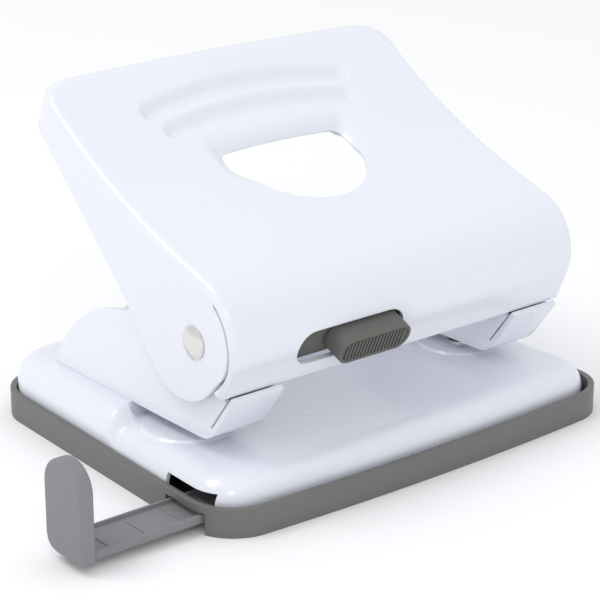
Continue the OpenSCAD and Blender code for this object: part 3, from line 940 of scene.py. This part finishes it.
class PUNCH_OT_base(bpy.types.Operator):
    """Presses the base: a rounded pan with a raised rear platform and pads round the dies"""

    bl_idname = "punch.base"
    bl_label = "Base"

    skirt = 3 * MM
    ramp_cuts = tuple(y * MM for y in (-0.04, -0.8, -1.6, -2.4, -3.2, -4))
    stop_half = 46 * MM
    pad_radii = (11 * MM, 10.1 * MM)
    pad_half = 0.5 * MM
    hole_radius, hole_top = 2.95 * MM, 20 * MM
    notch = ((-60 * MM, -39 * MM, 0), (-50 * MM, -23.7 * MM, 8.1 * MM))
    edge_radius = 0.4 * MM
    near = 0.1 * MM

    def execute(self, context):
        b = sizes("base")
        obj = slab("base_shell", b.skirt_inset, self.skirt, b.platform, b.setback)
        with editing(obj):
            choose(obj, "EDGE", on_top(b.platform))
            bpy.ops.mesh.bevel(offset=b.shoulder, segments=10, affect="EDGES", clamp_overlap=True)
            for y in (0, *self.ramp_cuts):
                across(y, 1)
            for x in (-self.stop_half, self.stop_half):
                across(x, 0)
        self.lower_front(obj)
        low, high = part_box("left_die_plate")
        die = (low + high) / 2
        foot, crown = self.pad_radii
        for x in (die.x, -die.x):
            pad = rod("pad", foot, (x, die.y, b.bed - self.pad_half),
                      (x, die.y, b.bed + self.pad_half), crown)
            combine(obj, pad, "UNION")
        with editing(obj):
            under = self.skirt + self.near
            choose(obj, "FACE", lambda f: f.normal.z < -0.9 and f.calc_center_median().z < under)
            bpy.ops.mesh.delete(type="FACE")
        modify(obj, "SOLIDIFY", thickness=b.sheet, offset=-1, use_rim=True)
        for x in (die.x, -die.x):
            hole = rod("hole", self.hole_radius, (x, die.y, 0), (x, die.y, self.hole_top))
            combine(obj, hole, "DIFFERENCE")
        combine(obj, cube("notch", *self.notch), "DIFFERENCE")
        soften(obj, self.edge_radius, limit=32, segments=3, smooth=40)
        piece(obj, "base", "white_paint", "enamel", "base_pan")
        return {"FINISHED"}

    def lower_front(self, obj):
        """Lowers the front to the paper bed, in one step at the paper stop and down a soft ramp beside it."""
        b = sizes("base")
        wall_top = b.platform - b.shoulder - self.near
        for v in obj.data.vertices:
            if v.co.z > wall_top:
                part = min(1, max(0, v.co.y / self.ramp_cuts[-1]))
                part = part * part * (3 - 2 * part)
                if abs(v.co.x) < self.stop_half + self.near:
                    part = 1 if v.co.y < self.ramp_cuts[0] / 4 else 0
                v.co.z -= part * (b.platform - b.bed)


class PUNCH_OT_brackets(bpy.types.Operator):
    """Makes the two brackets"""

    bl_idname = "punch.brackets"
    bl_label = "Brackets"

    def execute(self, context):
        for side in ("left", "right"):
            node = side + "_bracket"
            piece(copied(side + "_bracket_sheet", node, 0.2 * MM, 35), "base", "white_paint", "enamel", node)
        return {"FINISHED"}


class PUNCH_OT_rivets(bpy.types.Operator):
    """Turns the pivot rivets with their domed heads"""

    bl_idname = "punch.rivets"
    bl_label = "Pivot rivets"

    head, crown = 3.6 * MM, 1.1 * MM
    head_edge, head_bevel, head_rise = 0.3 * MM, 0.1 * MM, 0.12 * MM
    shank, shank_end = 2.5 * MM, -1.3 * MM
    tail, tail_end = 1.8 * MM, -7 * MM
    dome_steps = 10

    def outline(self):
        """The rivet's (radius, height) outline, from its tail's end to the top of its head."""
        points = [(0, self.tail_end), (self.tail, self.tail_end), (self.tail, self.shank_end),
                  (self.shank, self.shank_end), (self.shank, 0), (self.head - self.head_bevel, 0),
                  (self.head, self.head_rise)]
        dome = self.crown - self.head_edge
        sphere = (self.head * self.head + dome ** 2) / (2 * dome)
        for i in range(self.dome_steps + 1):
            r = self.head * (1 - i / self.dome_steps)
            points.append((r, self.crown - sphere + math.sqrt(sphere * sphere - r * r)))
        return points

    def execute(self, context):
        for side, sign in (("left", -1), ("right", 1)):
            node = side + "_pivot_rivet"
            low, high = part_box(node)
            middle = (low + high) / 2
            face = sizes("handle").half_width * sign
            obj = turned(side + "_rivet_head", self.outline(), (face, middle.y, middle.z), (sign, 0, 0))
            smoothed(obj, 40)
            piece(obj, "base", "bright_steel", "nickel", node)
        return {"FINISHED"}


class PUNCH_OT_punches(bpy.types.Operator):
    """Makes the punch pins, their guides, clips, springs and dies"""

    bl_idname = "punch.punches"
    bl_label = "Punches"

    def execute(self, context):
        for side in ("left", "right"):
            for node, body in (("punch_pin", side + "_pin"), ("pin_clip", side + "_pin"),
                               ("pin_guide", "base"), ("die_plate", "base")):
                name = side + "_" + node
                piece(copied(name + "_steel", name, 0.12 * MM), body, "bright_steel", "brushed_steel", name)
            node = side + "_return_spring"
            low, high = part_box(node)
            spring = coil(side + "_spring_coil", (low + high) / 2, low.z, high.z, high.x - low.x)
            piece(spring, "base", "bright_steel", "nickel", node)
            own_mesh(spring)
        piece(copied("channel_steel", "guide_channel", 0.1 * MM), "base", "bright_steel", "brushed_steel",
              "guide_channel")
        piece(copied("bracket_rivet_heads", "bracket_rivets", 0.1 * MM), "base", "bright_steel", "nickel",
              "bracket_rivets")
        return {"FINISHED"}


def coil(name, middle, low, high, width, wire=0.4 * MM, turns=4):
    """A return spring: a round wire screwed up round its axis."""
    bpy.ops.object.select_all(action="DESELECT")
    rise = high - low - 2 * wire
    bpy.ops.mesh.primitive_circle_add(vertices=14, radius=wire, fill_type="NGON",
                                      location=(width / 2 - wire, 0, 0), rotation=(math.pi / 2, 0, 0))
    obj = settle(bpy.context.object, name)
    with editing(obj):
        bpy.ops.mesh.select_all(action="SELECT")
        bpy.ops.mesh.delete(type="ONLY_FACE")
    modify(obj, "SCREW", axis="Z", angle=2 * math.pi * turns, screw_offset=rise, steps=40 * turns,
           render_steps=40 * turns, use_merge_vertices=False)
    with editing(obj):
        bpy.ops.mesh.select_all(action="SELECT")
        bpy.ops.mesh.fill_holes(sides=20)
        bpy.ops.mesh.select_all(action="SELECT")
        bpy.ops.mesh.normals_make_consistent(inside=False)
    obj.data.transform(Matrix.Translation((middle.x, middle.y, low + wire)))
    return smoothed(obj, 50)


# ---------- lock and guide ----------
class PUNCH_OT_lock(bpy.types.Operator):
    """Moulds the lock slide: a ribbed button and the plate behind the front panel"""

    bl_idname = "punch.lock"
    bl_label = "Lock slide"

    button_left = -22.5 * MM
    button_length = 19.6 * MM
    button_height = 6.6 * MM
    button_out = 4 * MM
    button_root = 1.8 * MM
    rim, hollow = 0.8 * MM, 0.5 * MM
    edge_radius = 0.35 * MM
    ribs = 17
    rib_half, rib_gap, rib_edge = 0.26 * MM, 0.85 * MM, 0.12 * MM
    rib_depths = (0.08 * MM, 0.6 * MM)
    rib_overhang = 1.1 * MM
    rib_least = 0.4 * MM
    origin = Vector((0, -38.08, 33.54)) * MM

    def execute(self, context):
        h = sizes("handle")
        x0, x1 = self.button_left, self.button_left + self.button_length
        half, out = self.button_height / 2, self.button_out
        obj = cube("lock_grip", (x0, -out, -half), (x1, self.button_root, half))
        with editing(obj):
            choose(obj, "EDGE", lambda e: abs(e.verts[0].co.y - e.verts[1].co.y) > out)
            bpy.ops.mesh.bevel(offset=half * 0.98, segments=12, affect="EDGES")
            choose(obj, "FACE", lambda f: f.normal.y < -0.9)
            bpy.ops.mesh.inset(thickness=self.rim, depth=0)
            choose(obj, "FACE", lambda f: f.normal.y < -0.9 and len(f.verts) > 8)
            bpy.ops.mesh.extrude_region_move(TRANSFORM_OT_translate={"value": (0, self.hollow, 0)})
        soften(obj, self.edge_radius, limit=50, segments=3)
        ribs = []
        step = (x1 - x0 - 2 * half + 2 * self.rib_overhang) / (self.ribs - 1)
        for i in range(self.ribs):
            x = x0 + half - self.rib_overhang + i * step
            end = max(0, abs(x - (x0 + x1) / 2) - (x1 - x0) / 2 + half)
            tall = math.sqrt(max((half - self.rib_gap) ** 2 - end * end, self.rib_least ** 2))
            crest, root = self.rib_depths
            rib = cube("rib", (x - self.rib_half, -out + crest, -tall),
                       (x + self.rib_half, -out + root, tall))
            ribs.append(soften(rib, self.rib_edge, segments=2))
        join(obj, *ribs)
        obj.data.transform(Matrix.Translation(self.origin) @ Matrix.Rotation(h.panel_tilt, 4, "X"))
        piece(obj, "lock", "lock_plastic", "lock_plastic", "lock_button")
        piece(copied("lock_plate_plastic", "lock_plate", 0.15 * MM), "lock", "lock_plastic", "lock_plastic",
              "lock_plate")
        return {"FINISHED"}


class PUNCH_OT_guide(bpy.types.Operator):
    """Moulds the paper guide: a sliding bar with an upright stop"""

    bl_idname = "punch.guide"
    bl_label = "Paper guide"

    bar_y, bar_half, bar_top = -32.55 * MM, 5.45 * MM, 4.2 * MM
    bar_start = 2 * MM
    trough, rim = 0.9 * MM, 0.7 * MM
    trough_area = 400 * MM * MM
    stop_thickness = 3.6 * MM
    stop_split = 9 * MM
    stop_roundness, foot_corner = 0.97, 3.4 * MM
    mark_places = tuple(x * MM for x in (-78, -69, -60, -51, -42, -33, -24))
    mark_half, mark_reach = 0.15 * MM, 3.4 * MM
    mark_sunk, mark_proud = 0.1 * MM, 0.18 * MM

    def execute(self, context):
        low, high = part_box("paper_guide")
        obj = self.bar(low, high)
        join(obj, self.stop(low, high), *(self.mark(x) for x in self.mark_places))
        piece(obj, "guide", "guide_plastic", "guide_plastic", "paper_guide")
        return {"FINISHED"}

    def bar(self, low, high):
        obj = cube("guide_bar", (low.x + self.bar_start, self.bar_y - self.bar_half, low.z),
                   (high.x, self.bar_y + self.bar_half, self.bar_top))
        with editing(obj):
            choose(obj, "FACE", lambda f: f.normal.z > 0.9)
            bpy.ops.mesh.inset(thickness=self.rim, depth=0)
            choose(obj, "FACE", lambda f: f.normal.z > 0.9 and f.calc_area() > self.trough_area)
            bpy.ops.mesh.extrude_region_move(TRANSFORM_OT_translate={"value": (0, 0, -self.trough)})
        return soften(obj, 0.2 * MM, limit=40, segments=2)

    def stop(self, low, high):
        """The upright stop, round at its top and with one corner off at its foot."""
        obj = cube("stop", tuple(low), (low.x + self.stop_thickness, high.y, high.z))
        middle = (low.y + high.y) / 2

        def through(edge):
            return abs(edge.verts[0].co.x - edge.verts[1].co.x) > MM

        with editing(obj):
            choose(obj, "EDGE", lambda e: through(e) and e.verts[0].co.z > self.stop_split)
            bpy.ops.mesh.bevel(offset=(high.y - low.y) / 2 * self.stop_roundness, segments=14, affect="EDGES")
            choose(obj, "EDGE", lambda e: through(e) and e.verts[0].co.z < self.stop_split
                   and e.verts[0].co.y > middle)
            bpy.ops.mesh.bevel(offset=self.foot_corner, segments=3, affect="EDGES")
        return soften(obj, 0.7 * MM, limit=50, segments=4)

    def mark(self, x):
        """A cross line on the trough's floor."""
        floor = self.bar_top - self.trough
        obj = cube("mark", (x - self.mark_half, self.bar_y - self.mark_reach, floor - self.mark_sunk),
                   (x + self.mark_half, self.bar_y + self.mark_reach, floor + self.mark_proud))
        return soften(obj, 0.08 * MM, segments=2)


# ---------- stage ----------
def looking(place, back):
    """Matrix of a camera or lamp at a place, facing away from back."""
    return Matrix.Translation(place) @ back.to_track_quat("Z", "Y").to_matrix().to_4x4()


class PUNCH_OT_stage(bpy.types.Operator):
    """Sets the floor, the light and the camera"""

    bl_idname = "punch.stage"
    bl_label = "Stage"

    camera_place = (-0.2922, -0.3592, 0.197)
    floor_size = 6
    sky = (0.97, 0.98, 1, 1)
    aim = (0, 0, 0.03)
    key_place, key_size = (-0.45, 0.2, 0.8), 0.45
    front_place, front_size, front_share = (-0.35, -0.55, 0.5), 0.18, 0.25

    def execute(self, context):
        s = sizes("stage")
        scene = context.scene
        bpy.ops.object.select_all(action="DESELECT")
        bpy.ops.mesh.primitive_plane_add(size=self.floor_size, location=(0, 0, 0))
        floor = settle(context.object, "floor")
        floor.data.materials.append(self.floor_material())
        world = bpy.data.worlds.new("even_light")
        scene.world = world
        world.use_nodes = True
        background = world.node_tree.nodes["Background"]
        background.inputs["Color"].default_value = self.sky
        background.inputs["Strength"].default_value = s.world_light
        self.lamp("key_light", self.key_place, self.key_size, s.key_power)
        self.lamp("front_light", self.front_place, self.front_size, s.key_power * self.front_share)
        data = bpy.data.cameras.new("camera")
        data.lens, data.sensor_width = s.lens, 36
        data.clip_start, data.clip_end = 0.01, 20
        camera = bpy.data.objects.new("camera", data)
        scene.collection.objects.link(camera)
        across_floor = math.cos(s.elevation)
        back = Vector((math.sin(s.azimuth) * across_floor, -math.cos(s.azimuth) * across_floor,
                       math.sin(s.elevation)))
        camera.matrix_world = looking(self.camera_place, back)
        scene.camera = camera
        scene.view_settings.view_transform = "Standard"
        return {"FINISHED"}

    def lamp(self, name, place, size, power):
        data = bpy.data.lights.new(name, "AREA")
        data.shape, data.size, data.energy = "DISK", size, power
        obj = bpy.data.objects.new(name, data)
        bpy.context.scene.collection.objects.link(obj)
        obj.matrix_world = looking(place, Vector(place) - Vector(self.aim))

    def floor_material(self):
        material = bpy.data.materials.new("pale_floor")
        material.use_nodes = True
        shader = material.node_tree.nodes["Principled BSDF"]
        shader.inputs["Base Color"].default_value = (0.97, 0.97, 0.97, 1)
        shader.inputs["Roughness"].default_value = 0.7
        return material


class PUNCH_PT_panel(bpy.types.Panel):
    """Lists the punch's operators and sizes"""

    bl_label = "Punch"
    bl_idname = "PUNCH_PT_panel"
    bl_space_type = "VIEW_3D"
    bl_region_type = "UI"
    bl_category = "Punch"

    def draw(self, context):
        for operator in OPERATORS:
            self.layout.operator(operator.bl_idname)
        for part in GROUPS:
            box = self.layout.box()
            group = sizes(part)
            for key in group.bl_rna.properties.keys():
                if key not in {"rna_type", "name"}:
                    box.prop(group, key)


GROUPS = {"handle": PunchHandle, "base": PunchBase, "finish": PunchFinish, "stage": PunchStage}
OPERATORS = (PUNCH_OT_stage, PUNCH_OT_tray, PUNCH_OT_base, PUNCH_OT_brackets, PUNCH_OT_rivets,
             PUNCH_OT_punches, PUNCH_OT_handle, PUNCH_OT_lock, PUNCH_OT_guide)


def register():
    for cls in (*GROUPS.values(), *OPERATORS, PUNCH_PT_panel):
        bpy.utils.register_class(cls)
    for name, group in GROUPS.items():
        setattr(bpy.types.Scene, "punch_" + name, PointerProperty(type=group))


def unregister():
    for name in GROUPS:
        delattr(bpy.types.Scene, "punch_" + name)
    for cls in reversed((*GROUPS.values(), *OPERATORS, PUNCH_PT_panel)):
        bpy.utils.unregister_class(cls)


def main():
    register()
    make_finishes()
    for operator in OPERATORS:
        group, name = operator.bl_idname.split(".")
        getattr(getattr(bpy.ops, group), name)()


if __name__ == "__main__":
    main()
